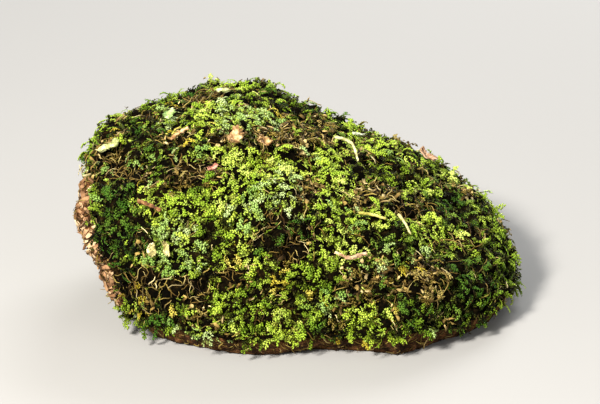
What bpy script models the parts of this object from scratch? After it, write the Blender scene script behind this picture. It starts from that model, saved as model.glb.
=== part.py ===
"""Moss clump: a mat of creeping moss peeled off the ground and folded into a lopsided dome.

Units are metres, +Z up, with the origin at the middle of the footprint on the resting plane. +X is
the low end of the dome, -X is its blunt high end with the torn edge, and -Y is its broad face.
"""
import math

import bmesh
import bpy
from mathutils import Matrix, Vector, bvhtree, noise

# Overall size of the clump.
CLUMP_LENGTH = 0.240
CLUMP_DEPTH = 0.195
CLUMP_HEIGHT = 0.110
RELIEF_ALLOWANCE = 0.0025  # the lumps stand about this far out of the smooth dome

# The dome's ridge: X, and its height there as a part of the clump's height.
RIDGE = (
    (-0.120, 0.89),
    (-0.080, 0.94),
    (-0.036, 1.00),
    (0.004, 0.90),
    (0.040, 0.77),
    (0.085, 0.68),
    (0.120, 0.52),
)
RIDGE_SETBACK = 0.20  # how far the ridge leans back, per metre of height

# Sides: the level where the dome is widest, and how round its sections are.
BELLY_LEVEL = 0.020
BLUNT_END_BELLY = 0.050  # added at the blunt end, which hangs over its foot
BELLY_DROP = 2.5  # how far below the belly the sides would meet, in belly heights
BLUNT_END_TUCK = 1.2  # taken off that at the blunt end
PLAN_SQUARENESS = 2.7
LOW_END_ROUNDING = 0.95
BLUNT_END_ROUNDING = 0.48

# Relief of the moss surface: (distance between lumps, height of a lump).
LUMPS = ((0.048, 0.0060), (0.021, 0.0034))
REMESH_SIZE = 0.0081
DOME_SUBDIVISIONS = 6  # of the round shape that the dome is drawn from, finer than REMESH_SIZE
FOOT_MERGE = 1e-5  # the flat cut takes points this close to it as on it

# Places on the broad face are given as seen from the front, looking down by this angle: X, and how
# far up the face.
LOOK_DOWN = math.radians(20.0)

# Hollows in the broad face: place, half width, half height, depth.
HOLLOWS = (
    (-0.066, 0.0675, 0.024, 0.009, 0.0070),
    (-0.026, 0.0385, 0.010, 0.012, 0.0040),
    (0.038, 0.0555, 0.012, 0.007, 0.0035),
    (0.078, 0.0285, 0.016, 0.010, 0.0050),
)

# Folds, and creases where the mat is bent the other way: ends of the line, half width, rise.
FOLDS = (
    (Vector((0.014, 0.012, 0.098)), Vector((0.104, 0.020, 0.054)), 0.0075, 0.0050),
    (Vector((-0.052, -0.052, 0.098)), Vector((0.016, -0.046, 0.088)), 0.0060, -0.0035),
    (Vector((-0.095, 0.045, 0.088)), Vector((0.030, 0.085, 0.036)), 0.0080, -0.0065),
    (Vector((0.020, 0.060, 0.076)), Vector((0.095, 0.055, 0.030)), 0.0090, 0.0045),
)

# Backing: the felt of dead stems and soil under the moss.
BACKING_THICKNESS = 0.013
BACKING_UNEVENNESS = 0.0112
BACKING_INSET = 0.004  # the moss overhangs the backing by this much
BACKING_LUMPS = 0.034  # distance between the lumps of its top
BACKING_SEED = Vector((3.0, 1.0, 7.0))
BLOCK_CELLS = (20, 16)
BLOCK_OVERSIZE = 1.15  # the block reaches past the clump on every side
BLOCK_BOTTOM = -0.02
LIP_RADIUS = 0.0062
LIP_PROUD = 0.0030  # how far the torn lip stands out of the moss
LIP_ROOT = 0.007  # how much deeper its foot starts, inside the backing
LIP_TOP = 0.078
LIP_FOOT_ANGLE = 213.0  # where it stands round the clump, in degrees from +X
LIP_TOP_ANGLE = 199.0
LIP_SIDES = 10
LIP_STEPS = 12
LIP_TAPER = 0.55  # how much of its radius the lip loses by its top
LIP_UNEVENNESS = 0.35  # how much its radius comes and goes, as a part of it
LIP_LUMPS = 0.0143  # distance between those swellings
LIP_ROOTED_PART = 0.25  # the part of its height over which the foot comes out of the backing

# Finishes: linear colour and roughness.
MOSS_FINISH = ((0.16, 0.30, 0.06), 0.85)
DUFF_FINISH = ((0.13, 0.07, 0.03), 0.95)
STEM_FINISH = ((0.42, 0.27, 0.14), 0.8)
LEAF_FINISH = ((0.60, 0.42, 0.25), 0.7)

GAP = 0.0003  # clearance between pieces that touch
FLOOR_GAP = 0.000345  # measured straight up, so a little more, because the floor slopes
TUBE_WELD = 1e-6  # points of a tube and its caps this close together are made one


def reset_scene():
    """Removes every object that the file starts with."""
    for obj in list(bpy.data.objects):
        bpy.data.objects.remove(obj, do_unlink=True)


def material(name, color, roughness):
    """A plain Principled material."""
    mat = bpy.data.materials.new(name)
    mat.use_nodes = True
    shader = mat.node_tree.nodes["Principled BSDF"]
    shader.inputs["Base Color"].default_value = (*color, 1.0)
    shader.inputs["Roughness"].default_value = roughness
    shader.inputs["Metallic"].default_value = 0.0
    return mat


def add_object(name, bm):
    """Makes an object from a bmesh, which is freed."""
    bmesh.ops.recalc_face_normals(bm, faces=bm.faces)
    mesh = bpy.data.meshes.new(name)
    bm.to_mesh(mesh)
    bm.free()
    obj = bpy.data.objects.new(name, mesh)
    bpy.context.collection.objects.link(obj)
    return obj


def make_guide(obj):
    """Marks an object as a cutter or guide, which is not part of the clump."""
    obj.hide_render = True
    obj.display_type = "WIRE"


def bake_modifiers(obj):
    """Replaces an object's mesh with the mesh that its modifiers give."""
    depsgraph = bpy.context.evaluated_depsgraph_get()
    mesh = bpy.data.meshes.new_from_object(obj.evaluated_get(depsgraph))
    obj.modifiers.clear()
    obj.data = mesh


def boolean(obj, other, operation):
    """Adds an exact Boolean with another object."""
    mod = obj.modifiers.new(f"{operation.lower()} {other.name}", "BOOLEAN")
    mod.operation = operation
    mod.solver = "EXACT"
    mod.object = other
    return mod


def smooth_step(t):
    """A ramp from 0 to 1 with soft ends."""
    t = min(max(t, 0.0), 1.0)
    return t * t * (3.0 - 2.0 * t)


def ridge_height(x):
    """Height of the ridge at X, read from RIDGE with soft steps between its points."""
    if x <= RIDGE[0][0]:
        return CLUMP_HEIGHT * RIDGE[0][1]
    for (x0, z0), (x1, z1) in zip(RIDGE, RIDGE[1:]):
        if x <= x1:
            return CLUMP_HEIGHT * (z0 + (z1 - z0) * smooth_step((x - x0) / (x1 - x0)))
    return CLUMP_HEIGHT * RIDGE[-1][1]


def dome_point(direction):
    """Where a direction from the middle of the clump meets the smooth dome."""
    dx, dy, dz = direction
    around = math.hypot(dx, dy)
    cos_a, sin_a = (dx / around, dy / around) if around > 1e-9 else (1.0, 0.0)
    reach = (abs(cos_a) ** PLAN_SQUARENESS + abs(sin_a) ** PLAN_SQUARENESS) ** (-1 / PLAN_SQUARENESS)
    blunt = smooth_step(0.5 - 0.5 * cos_a)
    power = LOW_END_ROUNDING + (BLUNT_END_ROUNDING - LOW_END_ROUNDING) * blunt
    belly = BELLY_LEVEL + BLUNT_END_BELLY * max(0.0, -cos_a) ** 2
    if dz >= 0.0:
        across = around**power
        up = dz**power
    else:
        across = around
        up = dz
    x = (0.5 * CLUMP_LENGTH - RELIEF_ALLOWANCE) * reach * cos_a * across
    y = (0.5 * CLUMP_DEPTH - RELIEF_ALLOWANCE) * reach * sin_a * across
    if up >= 0.0:
        span = ridge_height(x) - RELIEF_ALLOWANCE - belly
    else:
        span = belly * (BELLY_DROP - BLUNT_END_TUCK * max(0.0, -cos_a) ** 2)
    z = belly + span * up
    return Vector((x, y + RIDGE_SETBACK * (z - belly) * (1.0 - abs(2.0 * y / CLUMP_DEPTH)), z))


def distance_to_line(point, start, end):
    """Distance from a point to the line between two others."""
    along = end - start
    t = (point - start).dot(along) / along.length_squared
    return (point - start - along * min(max(t, 0.0), 1.0)).length


def up_the_face(point):
    """How far up the broad face a point is, as seen from the front."""
    return point.z * math.cos(LOOK_DOWN) + point.y * math.sin(LOOK_DOWN)


def relief(point):
    """How far the moss stands out of the smooth dome, or in, at a point."""
    out = 0.0
    for spacing, height in LUMPS:
        out += height * noise.noise(point / spacing, noise_basis="PERLIN_ORIGINAL")
    if point.y < 0.0:
        for x, up, half_width, half_height, depth in HOLLOWS:
            away = ((point.x - x) / half_width) ** 2 + ((up_the_face(point) - up) / half_height) ** 2
            out -= depth * math.exp(-away)
    for start, end, half_width, rise in FOLDS:
        away = distance_to_line(point, start, end) / half_width
        out += rise * math.exp(-away * away)
    return out


def clump_form(name, inset):
    """The whole clump as one closed body with a flat foot, moved inwards by inset."""
    bm = bmesh.new()
    bmesh.ops.create_icosphere(bm, subdivisions=DOME_SUBDIVISIONS, radius=1.0)
    for vert in bm.verts:
        vert.co = dome_point(vert.co)
    form = add_object(name, bm)
    remesh = form.modifiers.new("even faces", "REMESH")
    remesh.mode = "VOXEL"
    remesh.voxel_size = REMESH_SIZE
    bake_modifiers(form)
    bm = bmesh.new()
    bm.from_mesh(form.data)
    bm.normal_update()
    moved = [vert.co + vert.normal * (relief(vert.co) - inset) for vert in bm.verts]
    for vert, place in zip(bm.verts, moved):
        vert.co = place
    flat = bmesh.ops.bisect_plane(
        bm,
        geom=bm.verts[:] + bm.edges[:] + bm.faces[:],
        plane_co=(0.0, 0.0, 0.0),
        plane_no=(0.0, 0.0, 1.0),
        clear_inner=True,
        dist=FOOT_MERGE,
    )
    edges = [item for item in flat["geom_cut"] if isinstance(item, bmesh.types.BMEdge)]
    bmesh.ops.edgeloop_fill(bm, edges=edges)
    bmesh.ops.triangulate(bm, faces=bm.faces)
    bmesh.ops.recalc_face_normals(bm, faces=bm.faces)
    bm.to_mesh(form.data)
    bm.free()
    return form


def lie_on(tree, x, up, turn, sink):
    """Matrix that lays a piece on the moss: its X turned by turn as seen from the front, Z outwards."""
    sight = Vector((0.0, math.cos(LOOK_DOWN), -math.sin(LOOK_DOWN)))
    upright = Vector((0.0, math.sin(LOOK_DOWN), math.cos(LOOK_DOWN)))
    across_view = Vector((x, 0.0, 0.0))
    spot, normal, _, _ = tree.ray_cast(across_view + upright * up - sight * CLUMP_LENGTH, sight)
    along = Vector((math.cos(turn), 0.0, 0.0)) + upright * math.sin(turn)
    along = (along - normal * along.dot(normal)).normalized()
    across = normal.cross(along)
    frame = Matrix((along, across, normal)).transposed().to_4x4()
    return Matrix.Translation(spot - normal * sink) @ frame


def tube(name, points, radii, sides_level):
    """A closed round tube of changing radius through the points, from a curve with a bevel."""
    curve = bpy.data.curves.new(name, "CURVE")
    curve.dimensions = "3D"
    curve.bevel_depth = 1.0
    curve.bevel_resolution = sides_level
    curve.use_fill_caps = True
    spline = curve.splines.new("POLY")
    spline.points.add(len(points) - 1)
    for point, place, radius in zip(spline.points, points, radii):
        point.co = (*place, 1.0)
        point.radius = radius
    guide = bpy.data.objects.new(f"{name}_line", curve)
    bpy.context.collection.objects.link(guide)
    depsgraph = bpy.context.evaluated_depsgraph_get()
    mesh = bpy.data.meshes.new_from_object(guide.evaluated_get(depsgraph))
    bpy.data.objects.remove(guide, do_unlink=True)
    bm = bmesh.new()
    bm.from_mesh(mesh)
    bmesh.ops.remove_doubles(bm, verts=bm.verts, dist=TUBE_WELD)
    return add_object(name, bm)


def grown_copy(obj, amount):
    """A cutter: a copy of a piece, larger by amount all round."""
    bm = bmesh.new()
    bm.from_mesh(obj.data)
    bm.normal_update()
    moved = [vert.co + vert.normal * amount * vert.calc_shell_factor() for vert in bm.verts]
    for vert, place in zip(bm.verts, moved):
        vert.co = place
    cutter = add_object(f"{obj.name}_pocket", bm)
    cutter.matrix_world = obj.matrix_world.copy()
    make_guide(cutter)
    return cutter


# Stalks and twigs that lie on the moss. Each is given its place on the broad face, its turn in
# degrees as seen from the front, its length, its radius at both ends, how high it arches, and its
# elbow: how far its second half turns aside, in degrees.
STALKS = {
    "bent_twig": ((0.0286, 0.0219), -24, 0.0185, (0.0008, 0.0013), 0.0010, -48),
    "brown_twig": ((-0.0760, 0.0485), -17, 0.0140, (0.0012, 0.0009), 0.0006, 9),
    "tan_twig": ((-0.0630, 0.0860), 38, 0.0110, (0.0009, 0.0012), 0.0005, 6),
    "arched_stalk": ((0.0270, 0.0790), -62, 0.0240, (0.0009, 0.0006), 0.0030, 34),
    "yellow_stalk": ((0.0393, 0.0441), -7, 0.0145, (0.0009, 0.0007), 0.0007, 5),
    "pale_needle": ((0.0561, 0.0397), -56, 0.0125, (0.0008, 0.0005), 0.0006, 4),
}
STALK_POINTS = 7
STALK_SINK = 0.0002
STALK_ELBOW = (0.3, 0.7)  # where along a stalk its elbow starts and ends
STALK_KNOTS = 0.14  # how much a stalk's radius comes and goes, as a part of it
STALK_KNOT_SPACING = 0.0025
STALK_SEED_SPREAD = 90.0  # sets the noise of one stalk apart from the next one's

# Scraps of leaf, bark and husk: place, turn, length, width, and how far they curl and cup.
SCRAPS = {
    "leaf_bit_left": ((-0.0326, 0.0836), 62, 0.0110, 0.0085, 0.0022, 0.0014),
    "leaf_bit_right": ((-0.0184, 0.0826), 12, 0.0095, 0.0060, 0.0016, 0.0012),
    "cream_leaf": ((-0.0418, 0.1085), 24, 0.0100, 0.0055, 0.0016, 0.0012),
    "white_flake": ((0.0305, 0.0865), 68, 0.0085, 0.0050, 0.0008, 0.0006),
    "margin_leaf": ((-0.1010, 0.0780), 14, 0.0125, 0.0065, 0.0018, 0.0010),
    "round_leaf": ((-0.0700, 0.0960), 84, 0.0080, 0.0076, 0.0008, 0.0014),
    "curled_leaf": ((0.0673, 0.0750), -22, 0.0130, 0.0052, 0.0026, 0.0016),
    "husk_left": ((-0.0745, 0.0260), 78, 0.0090, 0.0042, 0.0016, 0.0013),
    "husk_right": ((-0.0672, 0.0260), 104, 0.0090, 0.0040, 0.0016, 0.0013),
    "pink_scale": ((-0.0439, 0.0678), 40, 0.0062, 0.0040, 0.0012, 0.0009),
}
SCRAP_THICKNESS = 0.0008
SCRAP_SINK = 0.0006
SCRAP_ROOM = 0.0004
SCRAP_CELLS = (7, 3)
SCRAP_BLUNTNESS = 0.30  # width left at the tips of a scrap
SCRAP_FULLNESS = (4, 0.8)  # powers of its outline: higher and lower make it squarer
SCRAP_RAGGEDNESS = 0.22
SCRAP_TEARS = 2.0  # noise waves along half a scrap
SCRAP_SEED_SPREAD = 170.0


def stalk_line(length, arch, elbow):
    """Points of a stalk in its own plane, with its middle at the origin."""
    points = [Vector((0.0, 0.0, 0.0))]
    step = length / (STALK_POINTS - 1)
    for i in range(1, STALK_POINTS):
        t = i / (STALK_POINTS - 1)
        bent = smooth_step((t - STALK_ELBOW[0]) / (STALK_ELBOW[1] - STALK_ELBOW[0]))
        heading = -math.radians(elbow) * bent
        points.append(points[-1] + Vector((math.cos(heading), math.sin(heading), 0.0)) * step)
    middle = points[STALK_POINTS // 2].copy()
    for i, point in enumerate(points):
        point -= middle
        point.z = arch * math.sin(math.pi * i / (STALK_POINTS - 1))
    return points


def make_stalk(name, tree, at, turn, length, radii, arch, elbow):
    """A twig, stalk or needle lying on the moss."""
    first, last = radii
    line = stalk_line(length, arch, elbow)
    widths = [first + (last - first) * i / (STALK_POINTS - 1) for i in range(STALK_POINTS)]
    seed = Vector((*at, 0.0)) * STALK_SEED_SPREAD
    for i in range(1, STALK_POINTS - 1):
        widths[i] *= 1.0 + STALK_KNOTS * noise.noise(line[i] / STALK_KNOT_SPACING + seed)
    stalk = tube(name, line, widths, 1)
    stalk.matrix_world = lie_on(tree, *at, math.radians(turn), STALK_SINK)
    return stalk


def make_scrap(name, tree, room, at, turn, length, width, curl, cup):
    """A scrap of dead leaf, bark or husk: a curled and cupped blade with blunt ends.

    With room it is the pocket that the scrap lies in, which is larger by that much on every side.
    """
    bm = bmesh.new()
    cells_along, cells_across = SCRAP_CELLS
    bmesh.ops.create_grid(bm, x_segments=cells_along, y_segments=cells_across, size=1.0)
    seed = Vector((*at, length)) * SCRAP_SEED_SPREAD
    square, power = SCRAP_FULLNESS
    for vert in bm.verts:
        along, across = vert.co.x, vert.co.y
        narrowing = SCRAP_BLUNTNESS + (1.0 - SCRAP_BLUNTNESS) * (1.0 - along**square) ** power
        half_width = 0.5 * width * narrowing
        tear = noise.noise(seed + Vector((along * SCRAP_TEARS, round(across), 0.0)))
        ragged = 1.0 + SCRAP_RAGGEDNESS * tear
        vert.co.x = (0.5 * length + room) * along
        vert.co.y = (half_width * ragged + room) * across
        vert.co.z = curl * along * along + cup * across * across - room
    upper = bmesh.ops.extrude_face_region(bm, geom=bm.faces[:])
    for item in upper["geom"]:
        if isinstance(item, bmesh.types.BMVert):
            item.co.z += SCRAP_THICKNESS + 2.0 * room
    bmesh.ops.triangulate(bm, faces=bm.faces)
    scrap = add_object(name, bm)
    scrap.matrix_world = lie_on(tree, *at, math.radians(turn), SCRAP_SINK)
    return scrap


def make_lip(tree):
    """The torn edge of the backing, which climbs the blunt end from the foot of the clump."""
    points = []
    radii = []
    for i in range(LIP_STEPS + 1):
        t = i / LIP_STEPS
        angle = math.radians(LIP_FOOT_ANGLE + (LIP_TOP_ANGLE - LIP_FOOT_ANGLE) * t)
        outwards = Vector((math.cos(angle), math.sin(angle), 0.0))
        level = LIP_RADIUS + (LIP_TOP - LIP_RADIUS) * t
        start = outwards * CLUMP_LENGTH
        start.z = level
        spot, normal, _, _ = tree.ray_cast(start, -outwards)
        swelling = 1.0 + LIP_UNEVENNESS * noise.noise(spot / LIP_LUMPS)
        radius = LIP_RADIUS * (1.0 - LIP_TAPER * t**3) * swelling
        rooted = LIP_ROOT * (1.0 - smooth_step(t / LIP_ROOTED_PART))
        points.append(spot - normal * (radius - LIP_PROUD + rooted))
        radii.append(radius)
    return tube("torn_lip", points, radii, (LIP_SIDES - 4) // 2)


def make_floor_block(raise_by):
    """A block under the moss whose uneven top is where the moss meets its backing."""
    bm = bmesh.new()
    cells_along, cells_across = BLOCK_CELLS
    bmesh.ops.create_grid(bm, x_segments=cells_along, y_segments=cells_across, size=0.5)
    for vert in bm.verts:
        vert.co.x *= CLUMP_LENGTH * BLOCK_OVERSIZE
        vert.co.y *= CLUMP_DEPTH * BLOCK_OVERSIZE
        uneven = BACKING_UNEVENNESS * noise.noise(vert.co / BACKING_LUMPS + BACKING_SEED)
        vert.co.z = BACKING_THICKNESS + uneven + raise_by
    top = bm.faces[:]
    lower = bmesh.ops.extrude_face_region(bm, geom=top)
    for item in lower["geom"]:
        if isinstance(item, bmesh.types.BMVert):
            item.co.z = BLOCK_BOTTOM
    bmesh.ops.triangulate(bm, faces=bm.faces)
    block = add_object("floor_block", bm)
    make_guide(block)
    return block


def keep_largest_body(obj):
    """Drops crumbs that a Boolean may leave beside the main body."""
    bm = bmesh.new()
    bm.from_mesh(obj.data)
    left = set(bm.verts)
    bodies = []
    while left:
        body = set()
        front = [left.pop()]
        while front:
            vert = front.pop()
            body.add(vert)
            for edge in vert.link_edges:
                other = edge.other_vert(vert)
                if other in left:
                    left.remove(other)
                    front.append(other)
        bodies.append(body)
    bodies.sort(key=len)
    crumbs = [vert for body in bodies[:-1] for vert in body]
    bmesh.ops.delete(bm, geom=crumbs, context="VERTS")
    bm.to_mesh(obj.data)
    bm.free()


def make_backing(lip):
    """The brown backing: the foot of the clump, set in from the moss, joined to the torn lip."""
    backing = clump_form("duff_backing", BACKING_INSET)
    boolean(backing, make_floor_block(0.0), "INTERSECT")
    bake_modifiers(backing)
    boolean(backing, lip, "UNION")
    bake_modifiers(backing)
    keep_largest_body(backing)
    return backing


def make_mat(lip, pockets):
    """The living moss, cut to clear the backing, the lip and each piece that lies in it."""
    mat = clump_form("moss_mat", 0.0)
    for cutter in (make_floor_block(FLOOR_GAP), grown_copy(lip, GAP), *pockets):
        boolean(mat, cutter, "DIFFERENCE")
        bake_modifiers(mat)
    keep_largest_body(mat)
    return mat


def centre_footprint(objects):
    """Moves the finished clump so that the middle of its bounding box is over the origin."""
    bpy.context.view_layer.update()
    corners = [obj.matrix_world @ Vector(corner) for obj in objects for corner in obj.bound_box]
    middle = Vector((0.0, 0.0, 0.0))
    for axis in (0, 1):
        values = [corner[axis] for corner in corners]
        middle[axis] = 0.5 * (min(values) + max(values))
    for obj in objects:
        obj.matrix_world = Matrix.Translation(-middle) @ obj.matrix_world


def main():
    """Builds the whole clump."""
    reset_scene()
    guide = clump_form("clump_form", 0.0)
    make_guide(guide)
    tree = bvhtree.BVHTree.FromObject(guide, bpy.context.evaluated_depsgraph_get())
    lip = make_lip(tree)
    make_guide(lip)

    stem = material("dead stem", *STEM_FINISH)
    leaf = material("dead leaf", *LEAF_FINISH)
    pieces = []
    pockets = []
    for name, sizes in STALKS.items():
        stalk = make_stalk(name, tree, *sizes)
        stalk.data.materials.append(stem)
        pockets.append(grown_copy(stalk, GAP))
        pieces.append(stalk)
    for name, sizes in SCRAPS.items():
        scrap = make_scrap(name, tree, 0.0, *sizes)
        scrap.data.materials.append(leaf)
        pockets.append(make_scrap(f"{name}_pocket", tree, SCRAP_ROOM, *sizes))
        make_guide(pockets[-1])
        pieces.append(scrap)
    bpy.context.view_layer.update()

    mat = make_mat(lip, pockets)
    backing = make_backing(lip)
    for obj, finish in (
        (mat, material("living moss", *MOSS_FINISH)),
        (backing, material("duff", *DUFF_FINISH)),
    ):
        obj.data.materials.clear()
        obj.data.materials.append(finish)
    for piece in pieces:
        piece.data.shade_smooth()
    centre_footprint([mat, backing, *pieces])


main()
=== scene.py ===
import math
import random

import bmesh
import bpy
import numpy as np
from mathutils import Euler, Matrix, Vector, kdtree, noise
from mathutils.bvhtree import BVHTree


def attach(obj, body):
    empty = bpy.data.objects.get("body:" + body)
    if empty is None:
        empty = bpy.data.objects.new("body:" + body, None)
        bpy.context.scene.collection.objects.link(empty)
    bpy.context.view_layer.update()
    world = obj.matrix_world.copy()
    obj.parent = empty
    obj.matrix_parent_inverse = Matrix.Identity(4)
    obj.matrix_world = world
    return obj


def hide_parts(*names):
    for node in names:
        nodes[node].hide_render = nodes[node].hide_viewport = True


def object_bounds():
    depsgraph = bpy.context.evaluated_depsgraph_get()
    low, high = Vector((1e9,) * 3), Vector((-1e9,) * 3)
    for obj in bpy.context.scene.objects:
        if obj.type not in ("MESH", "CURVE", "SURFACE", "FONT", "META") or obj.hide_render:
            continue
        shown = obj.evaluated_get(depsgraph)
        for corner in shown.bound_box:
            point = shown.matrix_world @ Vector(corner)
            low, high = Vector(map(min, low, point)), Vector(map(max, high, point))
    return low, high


# moss clump: a peeled mat of creeping moss, folded into a lopsided dome
# X runs along it, -Y is its broad face, Z is up, metres throughout

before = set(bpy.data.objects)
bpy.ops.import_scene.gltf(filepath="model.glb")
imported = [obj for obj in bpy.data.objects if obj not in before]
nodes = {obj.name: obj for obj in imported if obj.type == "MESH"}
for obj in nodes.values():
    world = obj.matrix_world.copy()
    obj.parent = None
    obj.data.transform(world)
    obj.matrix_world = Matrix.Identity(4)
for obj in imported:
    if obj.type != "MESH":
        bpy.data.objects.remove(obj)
cadLow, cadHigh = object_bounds()
mm = 0.001
debrisNames = sorted(set(nodes) - {"moss_mat", "duff_backing"})


def linear(hexColour):
    # sRGB hex to the linear values that the shaders want
    out = []
    for i in (1, 3, 5):
        c = int(hexColour[i:i + 2], 16) / 255
        out.append(c / 12.92 if c <= 0.04045 else ((c + 0.055) / 1.055) ** 2.4)
    return (*out, 1.0)


def addNode(tree, kind, links=None, **settings):
    # one node, with its settings, and its inputs set or linked by name
    node = tree.nodes.new(kind)
    for key, value in settings.items():
        setattr(node, key, value)
    for key, value in (links or {}).items():
        if isinstance(value, bpy.types.NodeSocket):
            tree.links.new(value, node.inputs[key])
        else:
            node.inputs[key].default_value = value
    return node


def setRamp(node, stops):
    # stops are (place, sRGB hex)
    ramp = node.color_ramp
    while len(ramp.elements) < len(stops):
        ramp.elements.new(0.5)
    for element, (place, colour) in zip(ramp.elements, stops):
        element.position = place
        element.color = linear(colour)


def newMaterial(name, roughness, specular):
    mat = bpy.data.materials.new(name)
    mat.use_nodes = True
    tree = mat.node_tree
    shader = tree.nodes["Principled BSDF"]
    shader.inputs["Roughness"].default_value = roughness
    shader.inputs["Specular IOR Level"].default_value = specular
    return mat, tree, shader


def addPiece(name, mesh, mat, slotName, *standsFor):
    obj = bpy.data.objects.new(name, mesh)
    bpy.context.scene.collection.objects.link(obj)
    mesh.materials.clear()
    mesh.materials.append(mat)
    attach(obj, "root")
    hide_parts(*standsFor)


def mergedCopy(nodeName):
    # a CAD node comes as loose triangles, so a copy is welded before it is worked on
    bm = bmesh.new()
    bm.from_mesh(nodes[nodeName].data)
    bmesh.ops.remove_doubles(bm, verts=bm.verts, dist=1e-5)
    return bm


def smoothStep(t):
    # eased, from 0 at 0 to 1 at 1
    t = np.clip(t, 0.0, 1.0)
    return t * t * (3.0 - 2.0 * t)


def noiseAt(points, size, seed):
    # smooth noise about 0, one value a point, with lumps of about that size
    shift = Vector((seed * 7.31, seed * 3.17, seed * 5.77))
    return np.array([noise.noise(Vector(p) / size + shift) for p in points])


# camera, lights and floor
stage = {
    "elevation": 20.5,      # degrees above level
    "azimuth": 1.7,
    "distance": 2.1,
    "frameWidth": 0.322,    # metres of view across, at the clump
    "sensor": 36.0,
    "aimDrop": 2 * mm,      # the camera looks this far below the middle
    "floor": "#a8a7a5",
    "floorHalf": 4.0,       # metres, half its side
    "air": "#f4f6f8",
    "airStrength": 0.30,
    "lights": (             # name, place, size, watts, colour
        ("key", (-0.62, -1.20, 1.05), 0.30, 70.0, "#fffaf2"),
        ("fill", (1.30, -0.90, 0.60), 1.00, 5.0, "#ffffff"),
        ("back", (0.45, 1.30, 1.00), 0.90, 26.0, "#ffffff"),
    ),
}


def makeStage():
    target = (cadLow + cadHigh) / 2
    target.z -= stage["aimDrop"]
    up = math.radians(stage["elevation"])
    side = math.radians(stage["azimuth"])
    away = Vector((math.sin(side) * math.cos(up), -math.cos(side) * math.cos(up), math.sin(up)))
    data = bpy.data.cameras.new("camera")
    data.sensor_width = stage["sensor"]
    data.lens = stage["sensor"] * stage["distance"] / stage["frameWidth"]
    camera = bpy.data.objects.new("camera", data)
    bpy.context.scene.collection.objects.link(camera)
    camera.location = target + away * stage["distance"]
    camera.rotation_euler = (-away).to_track_quat("-Z", "Y").to_euler()
    bpy.context.scene.camera = camera

    # soft key from the upper left and front, weak fill from the right, a rim from behind
    for name, place, size, watts, colour in stage["lights"]:
        light = bpy.data.lights.new(name, "AREA")
        light.size = size
        light.energy = watts
        light.color = linear(colour)[:3]
        lamp = bpy.data.objects.new(name, light)
        bpy.context.scene.collection.objects.link(lamp)
        lamp.location = place
        lamp.rotation_euler = (target - Vector(place)).to_track_quat("-Z", "Y").to_euler()

    world = bpy.data.worlds.new("studio air")
    bpy.context.scene.world = world
    world.use_nodes = True
    air = world.node_tree.nodes["Background"]
    air.inputs["Color"].default_value = linear(stage["air"])
    air.inputs["Strength"].default_value = stage["airStrength"]

    bm = bmesh.new()
    bmesh.ops.create_grid(bm, x_segments=1, y_segments=1, size=stage["floorHalf"])
    mesh = bpy.data.meshes.new("floor")
    bm.to_mesh(mesh)
    bm.free()
    floor = bpy.data.objects.new("floor", mesh)
    bpy.context.scene.collection.objects.link(floor)
    floor.location.z = cadLow.z
    paper, _, shader = newMaterial("matt studio paper", 0.9, 0.1)      # dull, no highlight
    shader.inputs["Base Color"].default_value = linear(stage["floor"])
    mesh.materials.append(paper)
    bpy.context.scene.view_settings.view_transform = "Standard"


makeStage()
print("stage set")


liveKinds = ("green", "lime", "mint", "deep", "gold")
shootKinds = (*liveKinds, "dead")
kinds = (*shootKinds, "bare")

# Patches on the broad face, seen from the front and 20 degrees above: X, how far up the face, half
# width, half height, the widths as parts of the clump's half length and the heights as parts of the
# face's height. Between them, and on the other sides, noise decides.
lookDown = math.radians(20)
patches = {
    "lime": (
        (-0.18, 0.64, 0.17, 0.11), (0.16, 0.59, 0.08, 0.19), (-0.46, 0.46, 0.18, 0.06),
        (-0.55, 1.06, 0.13, 0.06), (0.32, 0.91, 0.14, 0.05), (0.53, 0.59, 0.09, 0.07),
        (0.55, 0.35, 0.07, 0.05), (-0.42, 0.94, 0.07, 0.08), (0.67, 0.70, 0.15, 0.04),
    ),
    "mint": (
        (-0.28, 0.93, 0.13, 0.07), (-0.15, 0.49, 0.13, 0.07), (-0.50, 0.29, 0.09, 0.12),
        (-0.58, 0.90, 0.06, 0.05), (0.79, 0.52, 0.05, 0.04),
    ),
    "green": (
        (-0.17, 1.08, 0.13, 0.05), (0.43, 0.65, 0.12, 0.09), (-0.35, 0.29, 0.08, 0.12),
        (0.90, 0.25, 0.08, 0.21), (0.12, 0.11, 0.10, 0.09),
    ),
    "deep": (
        (-0.78, 0.36, 0.10, 0.21), (0.68, 0.48, 0.12, 0.08), (0.38, 0.31, 0.14, 0.08),
        (0.73, 0.14, 0.13, 0.11), (-0.70, 0.82, 0.10, 0.07),
    ),
    "gold": (
        (-0.03, 1.00, 0.11, 0.05), (-0.08, 0.11, 0.05, 0.06), (0.08, 0.04, 0.06, 0.04),
    ),
    "dead": (
        (-0.29, 0.80, 0.08, 0.05), (-0.08, 0.80, 0.17, 0.05), (0.04, 0.91, 0.15, 0.04),
        (-0.46, 0.59, 0.15, 0.03), (0.32, 0.78, 0.08, 0.05), (0.33, 0.49, 0.13, 0.05),
        (0.04, 0.52, 0.07, 0.05), (0.27, 0.09, 0.09, 0.08), (0.57, 0.09, 0.08, 0.08),
    ),
    "bare": (
        (-0.75, 0.65, 0.11, 0.08), (-0.45, 0.66, 0.14, 0.04), (-0.21, 0.31, 0.07, 0.08),
        (-0.12, 0.37, 0.04, 0.05), (0.02, 0.22, 0.08, 0.06), (0.52, 0.44, 0.13, 0.04),
        (0.68, 0.31, 0.11, 0.06), (-0.77, 0.11, 0.13, 0.10), (-0.43, 0.07, 0.33, 0.06),
    ),
}
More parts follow.
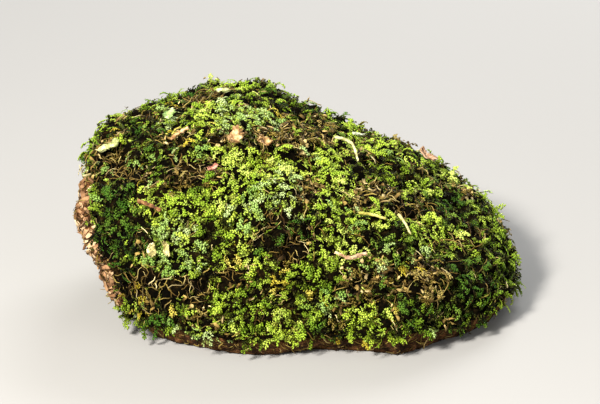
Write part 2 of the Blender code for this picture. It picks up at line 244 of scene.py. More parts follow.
claim = {
    # how strongly noise claims the ground for each kind, and the size of its lumps
    "wild": {
        "green": (0.62, 20 * mm), "lime": (0.56, 22 * mm), "mint": (0.30, 18 * mm),
        "deep": (0.46, 24 * mm), "gold": (0.14, 16 * mm), "dead": (0.34, 15 * mm),
        "bare": (0.26, 14 * mm),
    },
    "swing": 1.7,           # how far the noise swings about that
    "patch": 1.15,          # the claim in the middle of a patch
    "calm": 0.35,           # noise counts for so much less on the broad face
    "nearLip": 1.1,         # dead moss claims so much more behind the lip
    "blend": 0.5,           # a lead over which bare ground fades in
    "faceEnd": 12 * mm,     # the broad face ends at this Y
    "faceBlend": 20 * mm,
    "patchFall": 0.7,
    "patchPower": 1.5,
}


def patchField(points, kind):
    # 1 in the middle of that kind's patches, 0 away from them
    tall = cadHigh.z * math.cos(lookDown)      # the face's height, seen from there
    up = (points[:, 2] * math.cos(lookDown) + points[:, 1] * math.sin(lookDown)) / tall
    x = points[:, 0] / cadHigh.x
    front = smoothStep((claim["faceEnd"] - points[:, 1]) / claim["faceBlend"] + 0.5)
    field = np.zeros(len(points))
    for px, pUp, halfWidth, halfHeight in patches[kind]:
        gone = ((x - px) / halfWidth) ** 2 + ((up - pUp) / halfHeight) ** 2
        field = np.maximum(field, np.exp(-claim["patchFall"] * gone ** claim["patchPower"]))
    return field * front, front


def kindScores(points):
    # how strongly each kind of growth claims each point
    table = []
    for seed, kind in enumerate(kinds):
        level, size = claim["wild"][kind]
        field, front = patchField(points, kind)
        wild = level + claim["swing"] * noiseAt(points, size, 21 + seed)
        if kind == "dead":
            wild += claim["nearLip"] * lipNearness(points)
        table.append(wild * (1 - claim["calm"] * front) + claim["patch"] * field)
    return np.stack(table, axis=1)


def strongest(score, *names):
    # the best claim of the named kinds
    return score[:, [kinds.index(name) for name in names]].max(axis=1)


def bareness(points):
    # 0 where moss grows thick, 1 in the gaps where only dead stems lie
    score = kindScores(points)
    lead = strongest(score, "bare") - strongest(score, *shootKinds)
    return smoothStep(0.5 + lead / claim["blend"])


# the felt under the shoots, dark with painted shade for the gaps between them
body = {
    "sink": 4.6 * mm,       # the shoots stand this far out of it
    "voxel": 2.1 * mm,      # length of its faces' sides
    "under": -0.75,         # faces that look further down than this meet the duff, and stay
    "tuftSpacing": 8.5 * mm,
    "tuftRadius": 0.62,     # in spacings
    "mound": 2.0 * mm,      # tuft above, gap below, by so much
    "gapDrop": 1.6 * mm,    # bare places lie lower still
    "lumps": (3.0 * mm, 0.9 * mm),      # size and height
    "grain": (1.4 * mm, 0.5 * mm),
}


def remeshed(bm, voxel):
    # the same shape in small even faces
    mesh = bpy.data.meshes.new("work")
    bm.to_mesh(mesh)
    bm.free()
    obj = bpy.data.objects.new("work", mesh)
    bpy.context.scene.collection.objects.link(obj)
    mod = obj.modifiers.new("even", "REMESH")
    mod.mode = "VOXEL"
    mod.voxel_size = voxel
    even = bpy.data.meshes.new_from_object(obj.evaluated_get(bpy.context.evaluated_depsgraph_get()))
    bpy.data.objects.remove(obj)
    return even


def meshArrays(mesh):
    # every vertex's place and normal
    count = len(mesh.vertices)
    co = np.empty(count * 3)
    mesh.vertices.foreach_get("co", co)
    no = np.empty(count * 3)
    mesh.vertex_normals.foreach_get("vector", no)
    return co.reshape(-1, 3), no.reshape(-1, 3)


def spread(mesh, gap, seed, keep):
    # points about gap apart all over a mesh: scattered by area, then thinned
    mesh.calc_loop_triangles()
    co, _ = meshArrays(mesh)
    tris = np.empty(len(mesh.loop_triangles) * 3, int)
    mesh.loop_triangles.foreach_get("vertices", tris)
    a, b, c = (co[tris.reshape(-1, 3)[:, i]] for i in range(3))
    cross = np.cross(b - a, c - a)
    area = np.linalg.norm(cross, axis=1) / 2
    rng = np.random.default_rng(seed)
    tries = int(area.sum() / gap ** 2 * 3.2)      # enough that the thinning leaves no gaps
    pick = rng.choice(len(area), tries, p=area / area.sum())
    u, v = rng.random((2, tries))
    flip = u + v > 1
    u[flip], v[flip] = 1 - u[flip], 1 - v[flip]
    spots = a[pick] + (b - a)[pick] * u[:, None] + (c - a)[pick] * v[:, None]
    normals = cross[pick] / (2 * area[pick][:, None] + 1e-12)
    cells, kept = {}, []
    for i, (p, n) in enumerate(zip(spots, normals)):
        if not keep(p, n):
            continue
        key = tuple((p // gap).astype(int))
        near = (
            j
            for dx in (-1, 0, 1) for dy in (-1, 0, 1) for dz in (-1, 0, 1)
            for j in cells.get((key[0] + dx, key[1] + dy, key[2] + dz), ())
        )
        if all(np.sum((spots[j] - p) ** 2) > gap * gap for j in near):
            cells.setdefault(key, []).append(i)
            kept.append(i)
    return spots[kept], normals[kept]


def nearestTree(points):
    tree = kdtree.KDTree(len(points))
    for i, p in enumerate(points):
        tree.insert(p, i)
    tree.balance()
    return tree


# the torn lip, where the backing stands up beside the moss: the moss has died back behind it
dieBack = {
    "foot": 12 * mm,        # the lip starts this far up
    "blunt": 30 * mm,       # and lies this near the blunt end
    "reach": 16 * mm,
    "behind": 5 * mm,       # the die-back fades in over this
    "ragged": 0.35,         # how uneven its edge is
    "raggedSize": 8 * mm,
}
lipTree = nearestTree([
    v.co for v in nodes["duff_backing"].data.vertices
    if v.co.z > cadLow.z + dieBack["foot"] and v.co.x < cadLow.x + dieBack["blunt"]
])


def lipNearness(points):
    # 1 just behind the lip, 0 in front of it and from about 22 mm away
    nearest = [lipTree.find(p) for p in points]
    away = np.array([n[2] for n in nearest])
    behind = points[:, 1] - np.array([n[0].y for n in nearest])
    ragged = dieBack["ragged"] * noiseAt(points, dieBack["raggedSize"], 31)
    near = smoothStep(1.4 - away / dieBack["reach"] + ragged)
    return near * smoothStep(0.5 + behind / dieBack["behind"])


def makeMossBody():
    mesh = remeshed(mergedCopy("moss_mat"), body["voxel"])
    co, no = meshArrays(mesh)
    outer = smoothStep((no[:, 2] - body["under"]) / 0.5)
    co -= no * (outer * body["sink"])[:, None]
    mesh.vertices.foreach_set("co", co.ravel())
    mesh.update()
    tufts, _ = spread(mesh, body["tuftSpacing"], 11, lambda p, n: n[2] > body["under"])
    tree = nearestTree(tufts)
    co, no = meshArrays(mesh)
    away = np.array([tree.find(p)[2] for p in co])
    radius = body["tuftRadius"] * body["tuftSpacing"]
    rise = body["mound"] * np.clip(1 - 2 * (away / radius) ** 2, -1, 1)
    for seed, (size, height) in enumerate((body["lumps"], body["grain"]), 1):
        rise += noiseAt(co, size, seed) * height
    rise -= bareness(co) * body["gapDrop"]
    co += no * (rise * outer)[:, None]
    mesh.vertices.foreach_set("co", co.ravel())
    mesh.shade_smooth()
    mesh.update()
    return mesh, tufts, tree


bodyMesh, tufts, tuftTree = makeMossBody()
print("moss body", len(bodyMesh.polygons), "faces,", len(tufts), "tufts")


mould = {
    # Peaty humus between the shoots, crumbled and matted: near black, brown where it is dry; the near black
    # is painted shade for the gaps as well as the humus's own dark colour
    "humus": {
        "name": "humus, crumbled and matted",
        "specular": 0.03,
        "lumps": 14 * mm,
        "crumbs": 1.6 * mm,
        "drawn": (1.0, 1.0, 1.0),
        "swirl": 0.0,
        "relief": 0.6,
        "colours": ((0.36, "#020201"), (0.48, "#070502"), (0.58, "#140e04"), (0.68, "#34240c")),
    },
    # Leaf mould bound by roots, torn: brown, matted, with paler threads drawn out level in it
    "duff": {
        "name": "leaf mould and roots, torn",
        "specular": 0.12,
        "lumps": 9 * mm,
        "crumbs": 2.4 * mm,
        "drawn": (1.0, 1.0, 4.0),
        "swirl": 1.2,
        "relief": 0.7,
        "colours": ((0.36, "#0e0804"), (0.47, "#2e1c0e"), (0.56, "#5c3c20"), (0.66, "#94683e")),
    },
}


def mouldMaterial(look):
    # dull and rough all over, its browns by lumps and by crumbs
    mat, tree, shader = newMaterial(look["name"], 0.95, look["specular"])
    place = addNode(tree, "ShaderNodeTexCoord").outputs["Object"]
    drawn = addNode(tree, "ShaderNodeMapping", {"Vector": place, "Scale": look["drawn"]})
    coarse = addNode(
        tree, "ShaderNodeTexNoise", {"Vector": place, "Scale": 1 / look["lumps"], "Detail": 4.0}
    )
    fine = addNode(tree, "ShaderNodeTexNoise", {
        "Vector": drawn.outputs[0], "Scale": 1 / look["crumbs"], "Detail": 3.0, "Distortion": look["swirl"],
    })
    both = addNode(
        tree, "ShaderNodeMath", {0: coarse.outputs["Fac"], 1: fine.outputs["Fac"]}, operation="ADD"
    )
    half = addNode(tree, "ShaderNodeMath", {0: both.outputs[0], 1: 0.5}, operation="MULTIPLY")
    ramp = addNode(tree, "ShaderNodeValToRGB", {"Fac": half.outputs[0]})
    setRamp(ramp, look["colours"])
    tree.links.new(ramp.outputs["Color"], shader.inputs["Base Color"])
    bump = addNode(tree, "ShaderNodeBump", {
        "Height": fine.outputs["Fac"], "Strength": look["relief"], "Distance": 0.6 * mm,
    })
    tree.links.new(bump.outputs["Normal"], shader.inputs["Normal"])
    return mat


addPiece("moss_body", bodyMesh, mouldMaterial(mould["humus"]), "living_moss", "moss_mat")


# painted shade rides on the age: shoots at tuft edges, in hollows and on bare ground are moved darker along
# it
ageShadeMap = "OFBake"      # the UV map that holds age and hue; the export keeps one of this name

# the leafy shoots, a few shapes copied many times
shoot = {
    "length": 7.6 * mm,
    "shapes": 16,
    "branches": (0, 3),     # side branches, least and most
    "rise": 44.0,           # degrees at the root
    "droop": 30.0,          # degrees below level at the tip
    "step": 0.92 * mm,      # from leaf to leaf along a stem
    "branchLength": 3.3 * mm,
    "branchTurn": 48.0,
    "shades": (0.08, 0.70),     # from root to tip, 0 brown and dark, 1 fresh
    "leafLength": 2.3 * mm,
    "leafWidth": 1.55 * mm,
    "leafBroadest": 0.38,   # part of its length
    "leafKeel": 0.18,       # part of its width
    "leafTurn": 27.0,
    "leafRoll": 28.0,
}


def newShape(seed):
    # an empty mesh with its UV map, and the dice for its shape
    bm = bmesh.new()
    return random.Random(seed), bm, bm.loops.layers.uv.new(ageShadeMap)


def addLeaf(bm, uvLayer, root, along, across, size, shade):
    # one leaf: four corners, broadest below its middle, keeled, closed
    lift = along.cross(across).normalized()
    length, width = shoot["leafLength"] * size, shoot["leafWidth"] * size
    broadest, keel = shoot["leafBroadest"], shoot["leafKeel"]
    corners = [
        bm.verts.new(root - lift * width * 0.10),
        bm.verts.new(root + along * length * broadest + across * width * 0.5 + lift * width * keel),
        bm.verts.new(root + along * length * broadest - across * width * 0.5 + lift * width * keel),
        bm.verts.new(root + along * length - lift * width * 0.05),
    ]
    made = bmesh.ops.convex_hull(bm, input=corners)
    shades = ((shade, 0.0), (shade + 0.04, 0.010), (shade + 0.04, -0.010), (shade + 0.10, 0.0))
    spots = dict(zip(corners, shades))
    for face in made["geom"]:
        if isinstance(face, bmesh.types.BMFace):
            for loop in face.loops:
                loop[uvLayer].uv = spots[loop.vert]


def turned(direction, axis, degrees):
    return Matrix.Rotation(math.radians(degrees), 3, axis) @ direction


def addPlait(bm, uvLayer, rng, start, way, lift, length, curl, bend, shades, taper):
    # a stem in two rows of overlapping leaves; gives back the point and heading at each leaf
    spots = []
    point = start.copy()
    count = max(3, round(length / shoot["step"]))
    for k in range(count + 1):
        s = k / count
        across = lift.cross(way).normalized()
        hand = 1 if k % 2 else -1
        turn = 0.0 if k == count else hand * shoot["leafTurn"] * rng.uniform(0.75, 1.25)
        heading = turned(way, lift, turn)
        size = rng.uniform(0.88, 1.12) * (1 - taper * s)
        shade = shades[0] + (shades[1] - shades[0]) * s + rng.uniform(-0.05, 0.05)
        rolled = turned(across, way, rng.uniform(-shoot["leafRoll"], shoot["leafRoll"]))
        addLeaf(bm, uvLayer, point, heading, rolled, size, shade)
        spots.append((point.copy(), way.copy(), lift.copy(), s))
        point += way * (length / count)
        way = turned(way, across, curl / count * (0.5 + s))
        lift = turned(lift, across, curl / count * (0.5 + s))
        way = turned(way, lift, bend / count)
    return spots


def makeShoot(seed):
    # an arching shoot with a few side branches, curled down at its tips
    rng, bm, uvLayer = newShape(seed)
    along, lift = Vector((1, 0, 0)), Vector((0, 0, 1))
    across = Vector((0, 1, 0))
    length = shoot["length"] * rng.uniform(0.85, 1.15)
    rise = -shoot["rise"] * rng.uniform(0.7, 1.2)
    curl = shoot["rise"] + shoot["droop"] * rng.uniform(0.6, 1.4)
    spots = addPlait(
        bm, uvLayer, rng, Vector(), turned(along, across, rise), turned(lift, across, rise),
        length, curl, rng.uniform(-75, 75), shoot["shades"], 0.15,
    )
    branches = rng.randint(*shoot["branches"])
    for k in range(branches):
        t = (k + rng.uniform(0.6, 1.2)) / (branches + 1)
        point, way, up, s = spots[min(len(spots) - 2, round(t * (len(spots) - 1)))]
        hand = 1 if k % 2 else -1
        reach = shoot["branchLength"] * (1.15 - 0.5 * s) * rng.uniform(0.75, 1.2)
        heading = turned(way, up, hand * shoot["branchTurn"] * rng.uniform(0.8, 1.2))
        root = 0.10 + 0.40 * s      # a branch starts about as fresh as the stem is there
        addPlait(
            bm, uvLayer, rng, point, heading, up,
            reach, rng.uniform(20, 60), -hand * 25, (root, root + 0.36), 0.30,
        )
    return shapeArrays(bm, uvLayer)


def shapeArrays(bm, uvLayer):
    # corners, triangles and their shade and hue, ready to be copied many times
    bmesh.ops.recalc_face_normals(bm, faces=bm.faces)
    bm.verts.index_update()
    verts = np.array([v.co[:] for v in bm.verts])
    faces = np.array([[v.index for v in f.verts] for f in bm.faces])
    uvs = np.array([[loop[uvLayer].uv[:] for loop in f.loops] for f in bm.faces])
    bm.free()
    return verts, faces, uvs


# the short shoots that make the moss's floor, in the dark under the long ones, their colour painted dark
# for that shade
bud = {
    "shapes": 6,
    "length": 2.6 * mm,
    "rise": (25, 75),       # degrees
    "shades": (0.10, 0.40),
    "spacing": 2.4 * mm,
    "size": (0.8, 1.25),
    "sink": 0.4 * mm,
    "lowest": 3 * mm,
    "thinning": 0.7,        # on bare ground
    "shade": 0.08,
    # lighter under lime and mint shoots: partly their fresher colour, partly painted light that lifts the
    # floor's shade there
    "fresher": 0.36,        # under lime and mint shoots
    "edgePaintedShade": 0.20,
    "barePaintedShade": 0.15,
    "hue": (0.15, 0.6),     # under old shoots, and how much more under fresh ones
}


def makeBud(seed):
    # one short shoot of a few leaves
    rng, bm, uvLayer = newShape(seed)
    rise = -rng.uniform(*bud["rise"])
    across = Vector((0, 1, 0))
    way = turned(Vector((1, 0, 0)), across, rise)
    lift = turned(Vector((0, 0, 1)), across, rise)
    bend = rng.uniform(-40, 40)
    addPlait(bm, uvLayer, rng, Vector(), way, lift, bud["length"], 40, bend, bud["shades"], 0.2)
    return shapeArrays(bm, uvLayer)


shapes = [makeShoot(100 + i) for i in range(shoot["shapes"])]
buds = [makeBud(200 + i) for i in range(bud["shapes"])]
print("shoot shapes", [len(s[1]) for s in shapes], "buds", [len(s[1]) for s in buds])


def joinCopies(name, shapeList, rows):
    # one mesh of many copies, a row for each: shape number, matrix, shift in shade, shift in hue
    allVerts, allFaces, allUvs = [], [], []
    base = 0
    for index, matrix, shade, hue in rows:
        verts, faces, uvs = shapeList[index]
        move = np.array(matrix)
        verts = verts @ move[:3, :3].T + move[:3, 3]
        if verts[:, 2].min() < cadLow.z + 0.1 * mm:      # it would poke into the floor
            continue
        allVerts.append(verts)
        allFaces.append(faces + base)
        moved = uvs.copy()
        moved[..., 0] = np.clip(moved[..., 0] + shade, 0.004, 0.996)
        moved[..., 1] += hue
        allUvs.append(moved)
        base += len(verts)
    verts = np.concatenate(allVerts)
    faces = np.concatenate(allFaces)
    uvs = np.concatenate(allUvs).reshape(-1, 2)
    mesh = bpy.data.meshes.new(name)
    mesh.vertices.add(len(verts))
    mesh.vertices.foreach_set("co", verts.ravel())
    mesh.loops.add(len(faces) * 3)
    mesh.loops.foreach_set("vertex_index", faces.ravel())
    mesh.polygons.add(len(faces))
    mesh.polygons.foreach_set("loop_start", np.arange(0, len(faces) * 3, 3))
    layer = mesh.uv_layers.new(name=ageShadeMap)
    layer.uv.foreach_set("vector", uvs.ravel())
    mesh.update(calc_edges=True)
    mesh.validate()
    return mesh


def layOn(point, normal, rng, sink, size, roll=0.0, pitch=0.0):
    # the matrix that lays a shape on the surface, heading anywhere
    normal = Vector(normal)
    spin = rng.uniform(0, 2 * math.pi)
    side = normal.orthogonal().normalized()
    ahead = side * math.cos(spin) + normal.cross(side) * math.sin(spin)
    turn = Matrix((ahead, normal.cross(ahead), normal)).transposed() @ Euler((roll, pitch, 0)).to_matrix()
    return Matrix.Translation(Vector(point) - normal * sink) @ (turn * size).to_4x4()


def inRamp(hue):
    # kept off the ends of the hue ramp
    return float(np.clip(hue, 0.03, 0.97))


def alongGround(direction, normal):
    # what is left of a direction on ground with that normal
    return direction - normal * direction.dot(normal)


def tuftEdge(away):
    # 0 in the middle of a tuft, 1 at its edge
    return min(away / (growth["tuftEdge"] * body["tuftSpacing"]), 1.0)


growth = {
    "spacing": 2.08 * mm,
    "size": (0.75, 1.15),
    "sink": 0.6 * mm,
    "clearOfDebris": 0.3 * mm,
    "tuftEdge": 0.6,        # in tuft spacings
    "around": 17 * mm,      # a root this far below the tufts around it lies in a hollow
    # which way a shoot heads: out from its tuft, downhill, with its neighbours, anywhere
    "outward": 1.1,
    "downhill": 0.45,
    "together": 0.45,
    "stray": 0.65,
    "flowSize": 28 * mm,
    # how fresh it is to start with, then painted shade: darker at tuft edges and on bare ground, where the
    # gaps lie in shadow, and in hollows, for their shadow together with the debris that gathers there
    "shade": 0.22,
    "edgePaintedShade": 0.33,
    "hollowPaintedShade": 0.05,
    "barePaintedShade": 0.2,
    "lumpSize": 7 * mm,
    "lumpSwing": 0.2,
    "hueSize": 14 * mm,
    "hueSwing": 0.8,
    "lipThinning": 0.85,
    # how many of its shoots each kind keeps
    "thickness": {
        "green": 0.95, "lime": 1.0, "mint": 1.0, "deep": 0.85, "gold": 1.0, "dead": 0.45, "bare": 0.0,
    },
    # how much lighter they are than the rest: fresher shoots, and painted light for dense shoots near the
    # surface
    "lift": {
        "green": 0.05, "lime": 0.17, "mint": 0.16, "deep": 0.0, "gold": 0.13, "dead": 0.0, "bare": 0.0,
    },
}


def growShoots():
    rng = np.random.default_rng(41)
    roots, normals = spread(bodyMesh, growth["spacing"], 42, lambda p, n: n[2] > -0.8)
    loose = nearestTree([v.co for name in debrisNames for v in nodes[name].data.vertices])
    tuftScore = kindScores(tufts)
    rootScore = kindScores(roots)
    bare = bareness(roots)
    lip = lipNearness(roots)
    hueNoise = noiseAt(roots, growth["hueSize"], 51)
    lumpNoise = noiseAt(roots, growth["lumpSize"], 52)
    flow = noiseAt(roots, growth["flowSize"], 53) * 2 * math.pi
    placed = {k: [] for k in kinds}
    for i, (root, normal) in enumerate(zip(roots, normals)):
        root, normal = Vector(root), Vector(normal)
        centre, tuft, away = tuftTree.find(root)
        near = [np.array(p) for p, _, _ in tuftTree.find_range(root, growth["around"])]
        hollow = (Vector(np.mean(near, axis=0)) - root).dot(normal) / mm if len(near) > 3 else 0.0
        edge = tuftEdge(away)

        radial = alongGround(root - centre, normal)
        down = alongGround(Vector((0, 0, -1)), normal)
        crossA = normal.orthogonal().normalized()
        crossB = normal.cross(crossA)
        spin = rng.uniform(0, 2 * math.pi)
        ahead = radial.normalized() * (growth["outward"] * edge) + down * growth["downhill"]
        ahead += (crossA * math.cos(flow[i]) + crossB * math.sin(flow[i])) * growth["together"]
        ahead += (crossA * math.cos(spin) + crossB * math.sin(spin)) * growth["stray"]
        ahead = alongGround(ahead, normal).normalized()

        # smaller at a tuft's edge and on bare ground, and laid flatter there
        size = rng.uniform(*growth["size"]) * (1.05 - 0.15 * edge - 0.15 * bare[i])
        turn = Matrix((ahead, normal.cross(ahead), normal)).transposed()
        pitch = 0.45 * (edge - 0.5) + rng.uniform(-0.2, 0.2)
        turn = turn @ Euler((rng.uniform(-0.5, 0.5), pitch, 0)).to_matrix()
        matrix = Matrix.Translation(root - normal * growth["sink"]) @ (turn * size).to_4x4()
        tip = matrix @ Vector((0.78 * shoot["length"], 0, 0.28 * shoot["length"]))
        half = matrix @ Vector((0.4 * shoot["length"], 0, 0.38 * shoot["length"]))
        if min(loose.find(tip)[2], loose.find(half)[2]) < growth["clearOfDebris"]:
            continue

        hue = inRamp(0.5 + growth["hueSwing"] * hueNoise[i] + rng.normal(0, 0.17))
        # painted shade: a shoot's colour is darkened at a tuft's edge, in a hollow and on bare ground,
        # standing for the shadow in the gaps
        shade = growth["shade"] - growth["edgePaintedShade"] * edge - growth["hollowPaintedShade"] * hollow
        shade += growth["lumpSwing"] * lumpNoise[i] - growth["barePaintedShade"] * bare[i]
        shade += rng.normal(0, 0.09)
        score = 0.5 * (tuftScore[tuft] + rootScore[i]) + rng.normal(0, 0.10, len(kinds))
        kind = kinds[int(score.argmax())]
        if rng.random() > growth["thickness"][kind] * (1 - growth["lipThinning"] * lip[i]):
            continue
        shade += growth["lift"][kind]
        placed[kind].append((int(rng.integers(len(shapes))), matrix, shade, hue))
    return placed


def growBuds():
    rng = np.random.default_rng(61)
    roots, normals = spread(bodyMesh, bud["spacing"], 62, lambda p, n: n[2] > -0.85)
    bare = bareness(roots)
    score = kindScores(roots)
    lead = strongest(score, "lime", "mint") - strongest(score, "green", "deep", "dead")
    fresh = smoothStep(0.4 + lead / 0.6)
    rows = []
    for i, (root, normal) in enumerate(zip(roots, normals)):
        if root[2] < cadLow.z + bud["lowest"] or rng.random() < bud["thinning"] * bare[i]:
            continue
        edge = tuftEdge(tuftTree.find(root)[2])
        matrix = layOn(root, normal, rng, bud["sink"], rng.uniform(*bud["size"]))
        # painted shade: darker at tuft edges and on bare ground, where the gaps lie in shadow; lighter
        # under lime and mint shoots, by their fresher colour and by painted light
        shade = bud["shade"] + bud["fresher"] * fresh[i] - bud["edgePaintedShade"] * edge
        shade += rng.normal(0, 0.06) - bud["barePaintedShade"] * bare[i]
        hue = inRamp(bud["hue"][0] + bud["hue"][1] * fresh[i] + rng.normal(0, 0.12))
        rows.append((int(rng.integers(len(buds))), matrix, shade, hue))
    return rows


placed = growShoots()
print("shoots", {k: len(v) for k, v in placed.items()})

# leaf colours of each kind: its shoots vary from the first to the last
leafColours = {
    "green": ("#6c8c22", "#8aa62c", "#b0c84a"),
    "lime": ("#9cbc34", "#bed648", "#dce878"),
    "mint": ("#86aa4c", "#a6c26a", "#cada9a"),
    "deep": ("#40661a", "#587a24", "#7e9a38"),
    "gold": ("#a8942a", "#c8b83c", "#e0d264"),
    "dead": ("#524418", "#887634", "#c2b068"),
    "floor": ("#565820", "#788e2c", "#b4ca52"),
}


def tintedMaterial(name, roughness, specular, ages, hues):
    # across the UV map is how fresh a leaf is, with the painted shade of the shoots added in, and up it is
    # its hue
    mat, tree, shader = newMaterial(name, roughness, specular)
    uv = addNode(tree, "ShaderNodeUVMap", uv_map=ageShadeMap)
    parts = addNode(tree, "ShaderNodeSeparateXYZ", {"Vector": uv.outputs["UV"]})
    age = addNode(tree, "ShaderNodeValToRGB", {"Fac": parts.outputs["X"]})
    setRamp(age, ages)
    hue = addNode(tree, "ShaderNodeValToRGB", {"Fac": parts.outputs["Y"]})
    setRamp(hue, hues)
    mix = addNode(
        tree, "ShaderNodeMix", {"Factor": 1.0, 6: hue.outputs["Color"], 7: age.outputs["Color"]},
        data_type="RGBA", blend_type="MULTIPLY",
    )
    tree.links.new(mix.outputs[2], shader.inputs["Base Color"])
    return mat


def leafMaterial(kind):
    # moss leaf, one cell thick, matt and slightly waxy: brown and dark at the root, light at the tip
    ages = ((0.00, "#171006"), (0.20, "#5e5530"), (0.42, "#c4c49a"), (0.62, "#ffffff"))
    hues = tuple(zip((0.1, 0.5, 0.9), leafColours[kind]))
    return tintedMaterial(f"moss leaf, {kind}", 0.7, 0.12, ages, hues)


shootRows = {kind: (shapes, placed[kind]) for kind in shootKinds}
shootRows["floor"] = (buds, growBuds())
for kind, (shapeList, rows) in shootRows.items():
    name = f"shoots_{kind}"
    mesh = joinCopies(name, shapeList, rows)
    print(name, len(mesh.polygons), "faces")
    addPiece(name, mesh, leafMaterial(kind), "living_moss", "moss_mat")


# dead stems lying in the moss
stem = {
    "shapes": 10,
    "length": (4 * mm, 10 * mm),
    "radius": 0.34 * mm,
    "joints": 3,
    "spacing": 2.3 * mm,
    "lowest": 4 * mm,
    "lift": (0.5 * mm, 2.6 * mm),       # they lie this far above the ground
    "size": (0.7, 1.15),
    "pitch": (-0.35, 0.2),
    "shade": (-0.3, 0.12),
}


def setSpots(bm, uvLayer, spots):
    # each vertex keeps its own age and hue in the UV map
    for face in bm.faces:
        for loop in face.loops:
            loop[uvLayer].uv = spots[loop.vert]


def makeStem(seed):
    # a thin rod, three-sided and bent, that tapers to its tip
    rng, bm, uvLayer = newShape(seed)
    length = rng.uniform(*stem["length"])
    radius = stem["radius"] * rng.uniform(0.7, 1.25)
    bmesh.ops.create_cone(
        bm, cap_ends=True, segments=3, radius1=radius, radius2=0.55 * radius, depth=length,
        matrix=Matrix.Rotation(math.pi / 2, 4, "Y"),
    )
    long = [e for e in bm.edges if e.calc_length() > 0.5 * length]
    bmesh.ops.subdivide_edges(bm, edges=long, cuts=stem["joints"])
    bmesh.ops.triangulate(bm, faces=bm.faces)
    arch, sway, twist = rng.uniform(0.1, 0.7), rng.uniform(-0.5, 0.5), rng.uniform(-0.1, 0.1)
    spots = {}
    for v in bm.verts:
        t = v.co.x / length
        spots[v] = (0.55 + 0.3 * t + 0.02 * v.co.y / radius, 0.01 * v.co.z / radius)
        v.co.y += length * (sway * t * t + twist * math.sin(9 * t))
        v.co.z -= length * arch * (t * t - 0.12)
    setSpots(bm, uvLayer, spots)
    return shapeArrays(bm, uvLayer)


def fibreMaterial(name, colours):
    # dead stems and roots, dried and split: dull, darker at the foot, each its own brown
    ages = ((0.1, "#2a2420"), (0.4, "#b4aca4"), (0.65, "#ffffff"))
    hues = tuple((i / (len(colours) - 1), c) for i, c in enumerate(colours))
    return tintedMaterial(name, 0.75, 0.2, ages, hues)


stems = [makeStem(300 + i) for i in range(stem["shapes"])]
stemBrown = fibreMaterial(
    "dead stems, dried", ("#2e1c0c", "#5a4418", "#866e2e", "#ac984c", "#cab876", "#e6daa8")
)


def strewStems():
    # thick where the moss is dead or gone, few where it is lush
    rng = np.random.default_rng(71)
    lowest = cadLow.z + stem["lowest"]
    roots, normals = spread(bodyMesh, stem["spacing"], 72, lambda p, n: n[2] > -0.6 and p[2] > lowest)
    score = kindScores(roots)
    lead = strongest(score, "dead", "bare") - strongest(score, *liveKinds)
    chance = np.clip(0.55 + lead / 0.5, 0.10, 1.0)
    rows = []
    for i, (root, normal) in enumerate(zip(roots, normals)):
        if rng.random() > chance[i]:
            continue
        lift = rng.uniform(*stem["lift"]) * (0.5 + chance[i])
        matrix = layOn(root, normal, rng, -lift, rng.uniform(*stem["size"]), 0, rng.uniform(*stem["pitch"]))
        hue = inRamp(rng.beta(1.6, 2.0))
        rows.append((int(rng.integers(len(stems))), matrix, rng.uniform(*stem["shade"]), hue))
    return rows


mesh = joinCopies("dead_stems", stems, strewStems())
print("dead_stems", len(mesh.polygons), "faces")
addPiece("dead_stems", mesh, stemBrown, "dead_stem", "moss_mat")


# the felt of roots and mould under the moss, and its torn lip
duff = {
    "voxel": 1.9 * mm,      # length of its faces' sides
    "lumps": (5 * mm, 1.7 * mm),        # size and height
    "grain": (2.2 * mm, 1.1 * mm),
    "lipLumps": (9 * mm, 2.4 * mm),
    "foot": 2 * mm,         # it stays plain below this
}


def makeDuff():
    mesh = remeshed(mergedCopy("duff_backing"), duff["voxel"])
    co, no = meshArrays(mesh)
    high = co[:, 2] - cadLow.z
    onLip = smoothStep(high / (10 * mm) - 1) * (co[:, 0] < cadLow.x + dieBack["blunt"])
    rough = np.zeros(len(co))
    layers = ((duff["lumps"], 1.0), (duff["grain"], 1.0), (duff["lipLumps"], onLip))
    for seed, ((size, height), where) in enumerate(layers, 61):
        rough += where * noiseAt(co, size, seed) * height
    co += no * (rough * smoothStep(high / duff["foot"]))[:, None]
    co[:, 2] = np.maximum(co[:, 2], cadLow.z)
    mesh.vertices.foreach_set("co", co.ravel())
    mesh.shade_smooth()
    mesh.update()
    return mesh


duffMesh = makeDuff()
addPiece("duff_felt", duffMesh, mouldMaterial(mould["duff"]), "duff", "duff_backing")


# scales of dead leaf and bark, and crumbs of peat
flake = {
    "shapes": 8,
    "length": (3.6 * mm, 7.5 * mm),
    "width": (1.8 * mm, 4.2 * mm),
    "curl": (-0.5, 0.6),    # lengthways
    "cup": (0.4, 1.0),      # across
    "thickness": 0.22 * mm,
}
crumb = {
    "shapes": 6,
    "radius": 0.8 * mm,
    "lumpy": (0.75, 1.25),
    "flat": 0.7,
}


